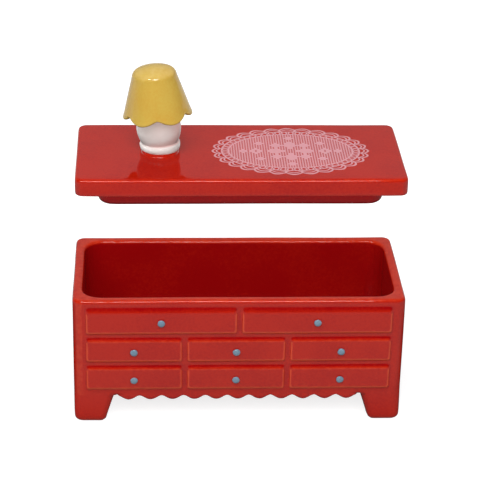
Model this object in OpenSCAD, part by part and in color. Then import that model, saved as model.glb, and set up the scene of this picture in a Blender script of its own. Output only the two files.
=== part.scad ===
// Glazed ceramic trinket box in the form of a low chest of drawers, with a lift-off lid that carries a lamp.
// Millimetres. +Z is up and the drawers face -Y. The origin is on the table, under the middle of the box.

/* [Chest] */
// Width of the chest over its ends
chest_w = 150; // [140:1:190]
// Depth of the chest from its front face to its back
chest_d = 66; // [62:1:90]
// Height of the chest from the table to its rim
chest_h = 63.6; // [58:0.1:80]
// Thickness of the end walls
end_wall = 4.4; // [3.6:0.1:6]
// Thickness of the front and back walls
long_wall = 4.8; // [3.6:0.1:6]
// Thickness of the floor
floor_t = 5; // [3:0.1:8]
// Radius of the outer corners in plan
corner_r = 4; // [3:0.1:6]
// Radius of the well's corners in plan
well_corner_r = 7; // [5:0.1:10]
// Radius where the well's walls meet the floor
well_floor_r = 4; // [2:0.1:6]
// Rounding of the rim's edges
rim_r = 1.5; // [0.8:0.1:1.7]

/* [Feet and apron] */
// Height of the chest's underside above the table
underside_z = 14.7; // [10:0.1:16]
// Width of each foot under the chest, seen from the front
foot_w = 17.5; // [14:0.5:22]
// Depth of each foot under the chest, seen from the end
foot_d = 16; // [13:0.5:19]
// How far each foot narrows towards the table
foot_taper = 2.2; // [0.5:0.1:5]
// Rounding of the feet's lower corners
foot_toe_r = 3; // [1:0.1:4.5]
// Hollow fillet between the feet and the underside
foot_fillet = 1.5; // [1:0.1:4]
// Number of scallops along the apron
scallop_count = 11; // [5:1:17]
// Drop of the scallops below the underside
scallop_drop = 2.3; // [0.8:0.1:3]
// Thickness of the apron from front to back
apron_t = 5; // [3:0.1:8]

/* [Drawer fronts] */
// Bare face between the drawers and the chest's ends
drawer_side_margin = 5.8; // [5:0.1:10]
// Bare face between the rim and the top row
drawer_top_margin = 3.2; // [2.5:0.1:7]
// Bare face between the bottom row and the underside
drawer_base_margin = 3.2; // [2:0.1:6]
// Height of the top row of drawers
top_drawer_h = 13.8; // [10:0.1:18]
// Gap between neighbouring drawers
drawer_gap = 2; // [1:0.1:5]
// Sideways shift of the gaps in the rows of three
lower_gap_shift = -1.2; // [-3:0.1:3]
// Gap between the rows
row_gap = 1.6; // [1:0.1:4]
// Height of the drawer fronts over the chest's face
drawer_relief = 1; // [0.4:0.1:1.4]
// Rounding of the drawer fronts' edges
drawer_edge_r = 1.6; // [1.2:0.1:2.4]

/* [Knobs] */
// Diameter of the knobs
knob_dia = 4; // [2.5:0.1:6]
// Height of the knobs over the drawer fronts
knob_h = 1; // [0.6:0.1:1.2]
// How far the knobs sit below the middle of the drawer fronts
knob_drop = 0.8; // [0:0.1:1.5]

/* [Lid] */
// How far the lid is set in from the chest's ends
lid_end_inset = 2; // [0:0.1:2]
// How far the lid is set in from the chest's front and back
lid_side_inset = 1; // [0:0.1:1.5]
// Thickness of the lid's slab
lid_t = 8.2; // [6:0.1:12]
// Rounding of the slab's upper edge
lid_edge_r = 2.5; // [1:0.1:3]
// Rounding of the slab's lower edge
lid_lower_r = 0.8; // [0.4:0.1:1.2]
// Depth of the locating flange under the slab
flange_h = 7.8; // [5:0.1:10]
// Wall thickness of the flange
flange_wall = 4.5; // [3:0.1:5.5]
// Play between the flange and the chest's end walls
flange_end_play = 7.3; // [1:0.1:8]
// Play between the flange and the chest's long walls
flange_side_play = 3.6; // [0.6:0.1:5]
// Radius of the flange's corners in plan
flange_corner_r = 7; // [6:0.1:9]
// Rounding of the flange's lower outer edge
flange_edge_r = 2.6; // [1:0.1:2.8]
// How far the hollow inside the flange runs up into the slab
lid_hollow = 2; // [0.5:0.1:3]
// Gap between the closed lid and the rim
seat_gap = 0.2; // [0.1:0.05:0.5]
// How far the lid is lifted above its seat
lid_lift = 50; // [20:1:80]

/* [Lamp] */
// Distance of the lamp's axis from the lid's left end
lamp_end_gap = 37.5; // [26:0.5:40]
// Distance of the lamp's axis behind the lid's middle
lamp_back = 2; // [-8:0.5:8]
// Diameter of the lamp's foot ring
lamp_foot_dia = 18.5; // [18:0.1:22]
// Height of the foot ring
lamp_foot_h = 4; // [3:0.1:6]
// Diameter of the groove over the foot ring
lamp_groove_dia = 17; // [15.5:0.1:17.6]
// Greatest diameter of the lamp's body
lamp_body_dia = 20.2; // [19:0.1:22]
// Height of the body's widest part above the lid
lamp_belly_z = 10.6; // [10:0.1:12]
// Lean of the lamp over its foot ring, towards the lid's left end, in degrees
lamp_lean = 4.5; // [0:0.5:6]
// Height of the shade's hem above the lid
shade_z = 16; // [15:0.5:20]
// Height of the shade from its hem to its top edge
shade_h = 22.6; // [16:0.1:30]
// Diameter of the shade over its hem
shade_hem_dia = 31.7; // [29:0.1:38]
// Diameter of the shade's top
shade_top_dia = 20.2; // [14:0.1:24]
// Rounding of the shade's top edge
shade_top_r = 3; // [1:0.1:4]
// Rise of the domed top over its edge
shade_dome = 1.5; // [0.2:0.1:2]
// Number of lobes round the hem
shade_lobes = 7; // [5:1:9]
// Depth of the flutes between the lobes at the hem
flute_depth = 1.3; // [0.3:0.1:1.8]
// Rise of the hem between the lobes
hem_rise = 2.7; // [0.5:0.1:3.2]
// Thickness of the hem
hem_t = 2; // [1.2:0.1:2.4]
// Depth of the hollow under the shade
shade_hollow = 4; // [3.8:0.1:6]

/* [Doily] */
// Length of the doily
doily_w = 73; // [50:1:80]
// Bare strip between the doily and the lid's right end
doily_end_gap = 13.5; // [8:0.5:20]
// Bare strip between the doily and the lid's front and back edges
doily_edge_gap = 4; // [3.2:0.1:10]
// Number of scallops round the doily
lace_scallops = 28; // [16:2:40]
// Depth of the notches between the scallops
lace_notch = 1.8; // [0.5:0.1:3]
// Distance of the eyelets from the tips of the scallops
eyelet_inset = 7.5; // [6:0.1:10]
// Diameter of the eyelets
eyelet_dia = 1.4; // [0.6:0.1:2.4]
// Thickness of the transfer film
film_t = 0.1; // [0.06:0.01:0.3]

/* [Hidden] */
$fn = 72;
// Drawers in each row, from the top row down
row_counts = [2, 3, 3];
// Names of the knobs, in the order of the drawers
knob_names = [
    ["knob_top_left", "knob_top_right"],
    ["knob_middle_left", "knob_middle_centre", "knob_middle_right"],
    ["knob_bottom_left", "knob_bottom_centre", "knob_bottom_right"]
];

glaze_red = "#b5322b";
glaze_yellow = "#d6b04f";
glaze_white = "#ded4cd";
glaze_blue = "#7f97aa";
lace_pink = "#d9959f";

// Overlap of joined parts of one casting, and overshoot of a cut past a face
bond = 1;
// Straight steps in a rounded stretch of a foot's outline
arc_steps = 7;
// Straight steps along each scallop of the apron and of the doily
scallop_steps = 8;
// Below 1 the scallops of the apron are full and the notches between them narrow
scallop_fullness = 0.7;

// The drawers and knobs stand out in front, so the chest sits that much further back
front_out = drawer_relief + knob_h;
centre_y = front_out / 2;
front_y = centre_y - chest_d / 2;

block_h = chest_h - underside_z;
floor_z = underside_z + floor_t;
well_w = chest_w - 2 * end_wall;
well_d = chest_d - 2 * long_wall;
well_h = chest_h - floor_z;

rows_h = block_h - drawer_top_margin - drawer_base_margin;
low_drawer_h = (rows_h - top_drawer_h - 2 * row_gap) / 2;
// Run of the rounded edge of a drawer front, from its flat face out to the chest's face
drawer_edge_w = sqrt(pow(drawer_edge_r, 2) - pow(drawer_edge_r - drawer_relief, 2));

lid_w = chest_w - 2 * lid_end_inset;
lid_d = chest_d - 2 * lid_side_inset;
lid_z = chest_h + seat_gap + lid_lift;
lid_top_z = lid_z + lid_t;
flange_w = well_w - 2 * flange_end_play;
flange_d = well_d - 2 * flange_side_play;

lamp_x = lamp_end_gap - lid_w / 2;
lamp_y = centre_y + lamp_back;
lamp_body_top = shade_z + shade_hollow;
body_bulge = (lamp_body_dia - lamp_groove_dia) / 2;
body_arc_r = (pow(body_bulge, 2) + pow(lamp_belly_z - lamp_foot_h, 2)) / (2 * body_bulge);

hem_r = shade_hem_dia / 2;
// Play round the lamp's body where it ends against the shade's ceiling
ceiling_play = 1;
ceiling_r = lamp_groove_dia / 2 + ceiling_play;
// The flutes fade out up the shade by this power of the way left to the top
flute_fade = 1.5;
// Turn of the rounded top edge where it runs on into the dome
dome_turn = 90 - atan2(2 * shade_dome, shade_top_dia / 2 - shade_top_r);
// Steps round each lobe, and rings up the wall, over the rounded top edge and over the dome
lobe_steps = 10;
wall_rings = 9;
edge_rings = 3;
dome_rings = 3;
shade_steps = lobe_steps * shade_lobes;

doily_d = lid_d - 2 * doily_edge_gap;
doily_x = lid_w / 2 - doily_end_gap - doily_w / 2;
lace_steps = scallop_steps * lace_scallops;

// Points along an arc of radius r about c
function arc(c, r, from, to) = [
    for (i = [0 : arc_steps])
        let (a = from + (to - from) * i / arc_steps)
        [c.x + r * cos(a), c.y + r * sin(a)]
];

// Half profile of a slab's edge, from a corner's axis out to its radius
module edge_profile(run, h, top_r, base_r) {
    intersection() {
        square([run, h]);
        union() {
            translate([0, base_r])
                square([run, h - top_r - base_r]);
            translate([0, h / 2])
                square([run - top_r, h / 2]);
            square([run - base_r, h / 2]);
            if (top_r > 0)
                translate([run - top_r, h - top_r])
                    circle(top_r);
            if (base_r > 0)
                translate([run - base_r, base_r])
                    circle(base_r);
        }
    }
}

// Block of height h with corners of radius r in plan, its edge the half profile given as a child
module swept_block(w, d, r, h) {
    long = w - 2 * r;
    deep = d - 2 * r;
    translate([-long / 2, -deep / 2, 0])
        cube([long, deep, h]);
    for (side = [0 : 3]) {
        out = side % 2 == 0 ? long : deep;
        along = side % 2 == 0 ? deep : long;
        rotate([0, 0, 90 * side]) {
            translate([out / 2, 0, 0])
                rotate([90, 0, 0])
                    linear_extrude(along, center = true)
                        children();
            translate([out / 2, along / 2, 0])
                rotate_extrude(angle = 90)
                    children();
        }
    }
}

// Half profile of the well, with a rounded floor and a mouth that opens over the rim's rounding
module well_profile() {
    edge_profile(well_corner_r, well_h + bond, 0, well_floor_r);
    translate([well_corner_r, well_h - rim_r])
        difference() {
            square([rim_r, rim_r + bond]);
            translate([rim_r, 0])
                circle(rim_r);
        }
}

// Outline of one foot, from its outer edge inwards, with a rounded toe and a fillet under the chest
module foot_outline(w) {
    lean = atan2(foot_taper, underside_z - foot_toe_r);
    polygon(concat(
        [[0, underside_z + bond]],
        arc([foot_toe_r, foot_toe_r], foot_toe_r, 180, 270),
        arc([w - foot_taper - foot_toe_r, foot_toe_r], foot_toe_r, -90, -lean),
        arc([w + foot_fillet, underside_z - foot_fillet], foot_fillet, 180, 90),
        [[w + foot_fillet, underside_z + bond]]
    ));
}

// Two feet facing each other across a span, as a wall as thick as run
module foot_pair(span, w, run) {
    rotate([90, 0, 0])
        linear_extrude(run, center = true)
            for (side = [0, 1])
                mirror([side, 0])
                    translate([-span / 2, 0])
                        foot_outline(w);
}

// Four bracket feet, shaped from the front and from the ends, inside the chest's rounded plan
module feet() {
    intersection() {
        foot_pair(chest_w, foot_w, chest_d);
        rotate([0, 0, 90])
            foot_pair(chest_d, foot_d, chest_w);
        swept_block(chest_w, chest_d, corner_r, underside_z + bond)
            square([corner_r, underside_z + bond]);
    }
}

// Scalloped edge that hangs from the underside between the front feet
module apron() {
    half = chest_w / 2 - foot_w - foot_fillet;
    steps = scallop_steps * scallop_count;
    edge = [
        for (i = [0 : steps])
            let (swell = (1 - cos(360 * scallop_count * i / steps)) / 2)
            [half * (2 * i / steps - 1), underside_z - scallop_drop * pow(swell, scallop_fullness)]
    ];
    translate([0, apron_t - chest_d / 2, 0])
        rotate([90, 0, 0])
            linear_extrude(apron_t)
                polygon(concat(
                    edge,
                    [[half, underside_z + bond], [-half, underside_z + bond]]
                ));
}

// Middle of the gap before drawer col of a row, the ends of the row counted as gaps
function gap_x(row, col) =
    let (inner = row > 0 && col > 0 && col < row_counts[row])
    (chest_w - 2 * drawer_side_margin + drawer_gap) * (col / row_counts[row] - 1 / 2)
        + (inner ? lower_gap_shift : 0);
function drawer_w(row, col) = gap_x(row, col + 1) - gap_x(row, col) - drawer_gap;
function drawer_x(row, col) = (gap_x(row, col + 1) + gap_x(row, col)) / 2;
function drawer_h(row) = row == 0 ? top_drawer_h : low_drawer_h;
function drawer_z(row) = row == 0
    ? chest_h - drawer_top_margin - top_drawer_h / 2
    : drawer_z(row - 1) - (drawer_h(row - 1) + drawer_h(row)) / 2 - row_gap;

// Cross section of a drawer front, its flat face up and its edges rounded down into the chest's face
module drawer_section(span) {
    flat = span / 2 - drawer_edge_w;
    intersection() {
        translate([-span, -bond])
            square([2 * span, drawer_relief + bond]);
        union() {
            translate([-flat, -bond])
                square([2 * flat, drawer_relief + bond]);
            for (side = [-1, 1])
                translate([side * flat, drawer_relief - drawer_edge_r])
                    circle(drawer_edge_r);
        }
    }
}

// Raised drawer front in the face of the chest, its rounded edges running on into the wall
module drawer_front(w, h) {
    intersection() {
        rotate([0, 0, 180])
            linear_extrude(h + 2 * drawer_edge_r, center = true)
                drawer_section(w);
        rotate([90, 0, -90])
            linear_extrude(w + 2 * drawer_edge_r, center = true)
                rotate(90)
                    drawer_section(h);
    }
}

module chest_body() {
    color(glaze_red)
    translate([0, centre_y, 0]) {
        difference() {
            translate([0, 0, underside_z])
                swept_block(chest_w, chest_d, corner_r, block_h)
                    edge_profile(corner_r, block_h, rim_r, 0);
            translate([0, 0, floor_z])
                swept_block(well_w, well_d, well_corner_r, well_h + bond)
                    well_profile();
        }
        feet();
        apron();
        for (row = [0 : len(row_counts) - 1])
            for (col = [0 : row_counts[row] - 1])
                translate([drawer_x(row, col), -chest_d / 2, drawer_z(row)])
                    drawer_front(drawer_w(row, col), drawer_h(row));
    }
}

// Low dome seated on a drawer front
module knob(row, col) {
    dome_r = (pow(knob_dia / 2, 2) + pow(knob_h, 2)) / (2 * knob_h);
    color(glaze_blue)
    translate([drawer_x(row, col), front_y - drawer_relief, drawer_z(row) - knob_drop])
        rotate([90, 0, 0])
            rotate_extrude()
                intersection() {
                    square([knob_dia / 2, knob_h]);
                    translate([0, knob_h - dome_r])
                        circle(dome_r);
                }
}

module lid() {
    hollow_h = flange_h + lid_hollow;
    hollow_r = flange_corner_r - flange_wall;
    color(glaze_red)
    translate([0, centre_y, lid_z])
        difference() {
            union() {
                swept_block(lid_w, lid_d, corner_r, lid_t)
                    edge_profile(corner_r, lid_t, lid_edge_r, lid_lower_r);
                translate([0, 0, -flange_h])
                    swept_block(flange_w, flange_d, flange_corner_r, flange_h + bond)
                        edge_profile(flange_corner_r, flange_h + bond, 0, flange_edge_r);
            }
            translate([0, 0, -flange_h - bond])
                swept_block(flange_w - 2 * flange_wall, flange_d - 2 * flange_wall, hollow_r, hollow_h + bond)
                    square([hollow_r, hollow_h + bond]);
        }
}

// Places the leaning part of the lamp on the lid
module leaned() {
    translate([lamp_x, lamp_y, lid_top_z + lamp_foot_h])
        rotate([0, -lamp_lean, 0])
            translate([0, 0, -lamp_foot_h])
                children();
}

// Rounded foot ring flat on the lid, and a turned body with a groove and a full belly that leans on it
module lamp_base() {
    foot_round = lamp_foot_h / 2;
    body_low = lamp_foot_h - bond;
    color(glaze_white) {
        translate([lamp_x, lamp_y, lid_top_z])
            rotate_extrude() {
                square([lamp_foot_dia / 2 - foot_round, lamp_foot_h]);
                translate([lamp_foot_dia / 2 - foot_round, foot_round])
                    circle(foot_round);
            }
        leaned()
            rotate_extrude()
                intersection() {
                    translate([0, body_low])
                        square([lamp_body_dia / 2, lamp_body_top - body_low]);
                    translate([lamp_body_dia / 2 - body_arc_r, lamp_belly_z])
                        circle(body_arc_r);
                }
    }
}

// Fullness of the shade's lobes: 1 along a lobe's middle, 0 in the flute between two. One flute is in front
function lobe(a) = abs(sin(shade_lobes * (a + 90) / 2));
function hem_z(a) = hem_rise * (1 - lobe(a));

// Point on the shade's wall at share t of the way from the hem up to the rounded top edge
function wall_point(a, t) =
    let (r = hem_r + (shade_top_dia / 2 - hem_r) * t - flute_depth * (1 - lobe(a)) * pow(1 - t, flute_fade))
    [r * cos(a), r * sin(a), hem_z(a) + (shade_h - shade_top_r - hem_z(a)) * t];
// Radius and height on the rounded top edge, and at share t of the way over the dome to its middle
function top_edge(turn) = [
    shade_top_dia / 2 - shade_top_r * (1 - cos(turn)),
    shade_h - shade_top_r * (1 - sin(turn))
];
function dome(t) =
    let (rim = top_edge(dome_turn))
    let (top = shade_h + shade_dome)
    [rim.x * (1 - t), top - (top - rim.y) * pow(1 - t, 2)];
function round_at(a, p) = [p.x * cos(a), p.x * sin(a), p.y];
function hem_point(a) =
    let (r = hem_r - flute_depth * (1 - lobe(a)) - hem_t)
    [r * cos(a), r * sin(a), hem_z(a)];
function ceiling_point(a) = round_at(a, [ceiling_r, shade_hollow]);

// Fluted bell with a scalloped hem, hollow where the lamp's body goes in
module lamp_shade() {
    angles = [for (i = [0 : shade_steps - 1]) 360 * i / shade_steps];
    rings = concat(
        [[for (a = angles) ceiling_point(a)]],
        [[for (a = angles) hem_point(a)]],
        [for (k = [0 : wall_rings]) [for (a = angles) wall_point(a, k / wall_rings)]],
        [for (k = [1 : edge_rings]) [for (a = angles) round_at(a, top_edge(dome_turn * k / edge_rings))]],
        [for (k = [1 : dome_rings - 1]) [for (a = angles) round_at(a, dome(k / dome_rings))]]
    );
    last = len(rings) - 1;
    points = concat(
        [for (ring = rings) each ring],
        [[0, 0, shade_hollow], [0, 0, shade_h + shade_dome]]
    );
    ceiling_centre = len(points) - 2;
    top_centre = len(points) - 1;
    function at(ring, i) = ring * shade_steps + i % shade_steps;
    sides = [
        for (ring = [0 : last - 1])
            for (i = [0 : shade_steps - 1])
                each [
                    [at(ring, i), at(ring + 1, i), at(ring + 1, i + 1)],
                    [at(ring, i), at(ring + 1, i + 1), at(ring, i + 1)]
                ]
    ];
    ends = [
        for (i = [0 : shade_steps - 1])
            each [
                [ceiling_centre, at(0, i), at(0, i + 1)],
                [top_centre, at(last, i + 1), at(last, i)]
            ]
    ];
    color(glaze_yellow)
    leaned()
        translate([0, 0, shade_z])
            polyhedron(points, concat(sides, ends));
}

// Oval lace mat: scalloped outline with a ring of eyelets
module lace_doily() {
    outline = [
        for (i = [0 : lace_steps - 1])
            let (a = 360 * i / lace_steps)
            let (notch = lace_notch * (1 - abs(cos(lace_scallops * a / 2))))
            [(doily_w / 2 - notch) * cos(a), (doily_d / 2 - notch) * sin(a)]
    ];
    color(lace_pink)
    translate([doily_x, centre_y, lid_top_z])
        linear_extrude(film_t)
            difference() {
                polygon(outline);
                for (i = [0 : lace_scallops - 1]) {
                    a = 360 * i / lace_scallops;
                    translate([(doily_w / 2 - eyelet_inset) * cos(a), (doily_d / 2 - eyelet_inset) * sin(a)])
                        circle(d = eyelet_dia);
                }
            }
}

chest_body();
lid();
lamp_base();
lamp_shade();
lace_doily();
for (row = [0 : len(row_counts) - 1])
    for (col = [0 : row_counts[row] - 1])
        knob(row, col);
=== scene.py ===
import math

import bmesh
import bpy
from mathutils import Matrix, Vector, noise


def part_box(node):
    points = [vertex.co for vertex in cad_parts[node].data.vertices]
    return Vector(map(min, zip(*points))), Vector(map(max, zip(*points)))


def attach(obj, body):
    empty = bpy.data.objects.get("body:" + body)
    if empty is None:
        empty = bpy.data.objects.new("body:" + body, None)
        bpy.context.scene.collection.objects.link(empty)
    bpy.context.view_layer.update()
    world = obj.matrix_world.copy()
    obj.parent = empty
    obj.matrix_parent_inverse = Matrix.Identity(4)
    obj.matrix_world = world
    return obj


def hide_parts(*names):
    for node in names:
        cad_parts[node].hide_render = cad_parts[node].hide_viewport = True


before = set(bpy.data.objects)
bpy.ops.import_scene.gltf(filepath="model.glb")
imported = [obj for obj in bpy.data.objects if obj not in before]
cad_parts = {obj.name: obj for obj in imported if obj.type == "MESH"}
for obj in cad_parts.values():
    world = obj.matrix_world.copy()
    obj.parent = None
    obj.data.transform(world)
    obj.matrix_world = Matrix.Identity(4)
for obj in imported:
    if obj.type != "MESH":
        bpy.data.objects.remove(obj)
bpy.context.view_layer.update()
mm = 0.001  # pieces are modelled in millimetres and brought to metres at the end
level = 0.06  # least difference in height between two neighbouring rings of a loft
weld = 0.001  # corners that lie closer than this are one
noise.seed_set(5)  # the same unevenness every time
print("frame loaded,", len(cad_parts), "nodes")


# Mesh helpers

def boxOf(node):
    lo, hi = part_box(node)
    return lo / mm, hi / mm


def newBody():
    bm = bmesh.new()
    return bm, bm.verts.layers.float.new("tone")


def cornersOf(faces):
    return list(dict.fromkeys(v for f in faces for v in f.verts))


def regionOf(faces):
    # faces with their edges and corners
    edges = dict.fromkeys(e for f in faces for e in f.edges)
    return faces + list(edges) + cornersOf(faces)


def rimOf(faces):
    # the corners that these faces share with others
    inside = set(faces)
    return [v for v in cornersOf(faces) if any(f not in inside for f in v.link_faces)]


def facesLooking(bm, way, test):
    # faces that look that way and whose centres pass the test
    return [f for f in bm.faces if f.normal.dot(way) > 0.9 and test(f.calc_center_median())]


def cut(bm, axis, places, faces=None):
    # straight cuts through the whole body, or through the given faces only
    normal = Vector((axis == "x", axis == "y", axis == "z"))
    for place in places:
        geom = regionOf(faces() if faces else bm.faces[:])
        bmesh.ops.bisect_plane(bm, geom=geom, dist=weld, plane_co=normal * place, plane_no=normal)


def pull(bm, faces):
    # draws the faces out of the body and leaves their corners to be placed
    made = bmesh.ops.extrude_face_region(bm, geom=regionOf(faces))["geom"]
    return ([g for g in made if isinstance(g, bmesh.types.BMFace)],
            [g for g in made if isinstance(g, bmesh.types.BMVert)])


def spread(marks, cell):
    # the marks, with even steps no wider than a cell between them
    places = [marks[0]]
    for a, b in zip(marks, marks[1:]):
        count = math.ceil((b - a) / cell)
        places += [a + (b - a) * (i + 1) / count for i in range(count)]
    return places


def ringStack(bm, tone, centre):
    # a list of rings for a loft, and the function that adds one, a rounded rectangle as one flat face
    matt = bm.verts.layers.float.new("matt")
    leastRadius = 0.4
    rings = []

    def ring(size, radius, inset, z, value, dry=0.0):
        known = set(bm.verts)
        stretch = Matrix.Diagonal((size[0] - 2 * inset, size[1] - 2 * inset, 1, 1))
        place = Matrix.Translation((centre.x, centre.y, z)) @ stretch
        made = bmesh.ops.create_grid(bm, x_segments=1, y_segments=1, size=0.5, matrix=place)
        bmesh.ops.bevel(bm, geom=made["verts"], offset=max(radius - inset, leastRadius), segments=5,
                        profile=0.5, affect="VERTICES", material=-1)
        corners = [v for v in bm.verts if v not in known]
        for v in corners:
            v[tone] = value
            v[matt] = dry
        edges = list(dict.fromkeys(e for v in corners for e in v.link_edges))
        rings.append({"edges": edges, "face": corners[0].link_faces[0]})

    return rings, ring


def loft(bm, rings):
    # skin from ring to ring, with the first and last face left as the ends
    for ring in rings[1:-1]:
        bmesh.ops.delete(bm, geom=[ring["face"]], context="FACES_ONLY")
    for a, b in zip(rings, rings[1:]):
        bmesh.ops.bridge_loops(bm, edges=a["edges"] + b["edges"])
    bmesh.ops.recalc_face_normals(bm, faces=bm.faces)


def quarter(radius, steps, rising=True):
    # (in, down, tone) over a rounded edge, from the wall to the flat or back
    turns = [math.radians(90 * i / steps) for i in range(steps + 1)]
    arc = [(radius * (1 - math.cos(t)), radius * (1 - math.sin(t)), math.sin(2 * t)) for t in turns]
    return arc if rising else arc[::-1]


def handMade(bm, lo, hi, cast):
    # slow unevenness of a slip casting, kept inside the box
    amount = cast["unevenness"]
    middle = (lo + hi) / 2
    for v in bm.verts:
        for i in range(3):
            half = (hi[i] - lo[i]) / 2
            v.co[i] = middle[i] + (v.co[i] - middle[i]) * (1 - amount / half)
    for v in bm.verts:
        v.co += noise.noise_vector(v.co / cast["period"]) * amount
        for i in range(3):
            v.co[i] = min(max(v.co[i], lo[i]), hi[i])


def spinRound(bm, chain, centre, axis, steps):
    edges = [bm.edges.new(pair) for pair in zip(chain, chain[1:])]
    bmesh.ops.spin(bm, geom=chain + edges, cent=centre, axis=axis, angle=math.tau, steps=steps,
                   use_merge=True)
    bmesh.ops.remove_doubles(bm, verts=bm.verts, dist=weld)


def turn(bm, tone, profile, foot, steps):
    # profile of (radius, height over the foot, tone), spun about the upright axis from the front
    chain = []
    for r, h, value in profile:
        v = bm.verts.new((foot.x, foot.y - r, foot.z + h))
        v[tone] = value
        chain.append(v)
    spinRound(bm, chain, Vector((foot.x, foot.y, 0)), (0, 0, 1), steps)


def finishPiece(name, bm, material, body, nodes, levels):
    bmesh.ops.remove_doubles(bm, verts=bm.verts, dist=weld)
    bmesh.ops.recalc_face_normals(bm, faces=bm.faces)
    bmesh.ops.scale(bm, vec=(mm, mm, mm), verts=bm.verts)
    for f in bm.faces:
        f.smooth = True
    mesh = bpy.data.meshes.new(name)
    bm.to_mesh(mesh)
    gaps = sum(len(e.link_faces) != 2 for e in bm.edges)
    bm.free()
    mesh.materials.append(material)
    piece = bpy.data.objects.new(name, mesh)
    bpy.context.scene.collection.objects.link(piece)
    if levels:
        soft = piece.modifiers.new("soft", "SUBSURF")
        soft.levels = levels
        soft.render_levels = levels
    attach(piece, body)
    if nodes:
        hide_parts(*nodes)
    print(name, "made,", len(mesh.polygons), "faces,", gaps, "open edges")
    return piece


# Node helpers

def feed(tree, value, socket):
    # a plain value, or a link from another node
    if isinstance(value, (int, float, tuple)):
        socket.default_value = value
    else:
        tree.links.new(value, socket)


def calc(tree, operation, *values):
    node = tree.nodes.new("ShaderNodeMath")
    node.operation = operation
    for socket, value in zip(node.inputs, values):
        feed(tree, value, socket)
    return node.outputs[0]


def blendColour(tree, share, a, b):
    node = tree.nodes.new("ShaderNodeMix")
    node.data_type = "RGBA"
    for socket, value in zip((node.inputs[0], node.inputs[6], node.inputs[7]), (share, a, b)):
        feed(tree, value, socket)
    return node.outputs[2]


def speckle(tree, place, scale, detail=2.0):
    node = tree.nodes.new("ShaderNodeTexNoise")
    node.inputs["Scale"].default_value = scale
    node.inputs["Detail"].default_value = detail
    tree.links.new(place, node.inputs["Vector"])
    return node.outputs["Fac"]


def ramp(tree, value, low, high):
    node = tree.nodes.new("ShaderNodeMapRange")
    node.interpolation_type = "SMOOTHSTEP"
    node.inputs["From Min"].default_value = low
    node.inputs["From Max"].default_value = high
    tree.links.new(value, node.inputs["Value"])
    return node.outputs["Result"]


def attribute(tree, name):
    node = tree.nodes.new("ShaderNodeAttribute")
    node.attribute_name = name
    return node.outputs["Fac"]


def newMaterial(name):
    material = bpy.data.materials.new(name)
    material.use_nodes = True
    return material, material.node_tree, material.node_tree.nodes["Principled BSDF"]


# Glazes: a tone over 0 is thin glaze, and one under 0 is glaze gathered in a hollow; where noted, the same
# tones also paint light and shade, and a tone under -1 adds painted shadow

glaze = dict(
    slow=45,                # scales of the clouds, the fine noise, the orange peel and the grain
    fine=420,
    peel=1500,
    grain=950,
    ragged=0.5,             # how far the fine noise breaks up the thin places
    thinAndLitTones=(0.15, 0.95),     # tones over which the thin colour, also used as painted light, sets in
    poolAndShadeDepths=(0.1, 1.0),       # depths, which are tones under 0, over which the pooled colour, also used as painted shade, does
    poolAndShadeAmount=0.85,
    clouds=(0.35, 0.7),     # stretch of the slow noise that shows as clouds
    clouded=0.3,
    paintedShadowDepths=(1.0, 1.5),       # depths over which the colour darkens, as painted shadow in the lee of an overhang
    paintedShadow=0.25,
    dulls=(0.9, 1.0),       # depths over which the shine goes
    dull=0.2,
    rough=(0.02, 0.06),     # least roughness, and what the fine noise adds to it
    waves=(0.02, 0.006),    # height of the fine noise and of the peel beside the clouds
    bump=0.0006,
    ior=1.5,
    # colour of the painted shade in a piece's mirror image
    mirrorShadeColour=(0.02, 0.004, 0.003),
)
# each glaze's thin colour is also painted light and its pooled colour also painted shade, where the tones
# say so; the last value darkens a piece's mirror image as painted shade
looks = dict(
    redGlaze=dict(Body=(0.435, 0.0115, 0.003), ThinAndLit=(0.62, 0.06, 0.02), PooledAndShade=(0.295, 0.001, 0.002),
                  wave=0.25, grain=0.9, gloss=0.5, mirrorShade=0.0),
    # its thin colour also paints light on the shade's top
    yellowGlaze=dict(Body=(0.555, 0.37, 0.067), ThinAndLit=(0.65, 0.475, 0.18), PooledAndShade=(0.54, 0.26, 0.032),
                     wave=0.3, grain=0.6, gloss=0.5, mirrorShade=0.9),
    # its pooled colour is pink: glaze pooled at the foot and waist, and painted pink reflection of the red
    # lid low on the body and at the right
    whiteGlaze=dict(Body=(0.72, 0.645, 0.615), ThinAndLit=(0.92, 0.84, 0.81), PooledAndShade=(0.68, 0.43, 0.4),
                    wave=0.3, grain=0.2, gloss=0.2, mirrorShade=0.9),
    bluePaint=dict(Body=(0.16, 0.245, 0.32), ThinAndLit=(0.22, 0.29, 0.35), PooledAndShade=(0.14, 0.22, 0.32),
                   # the colour where the paint doesn't reach is the knob's red, made dark as painted shade
                   under=(0.24, 0.004, 0.003), wave=0.2, grain=0.5, gloss=0.5, mirrorShade=0.0),
)


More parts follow.
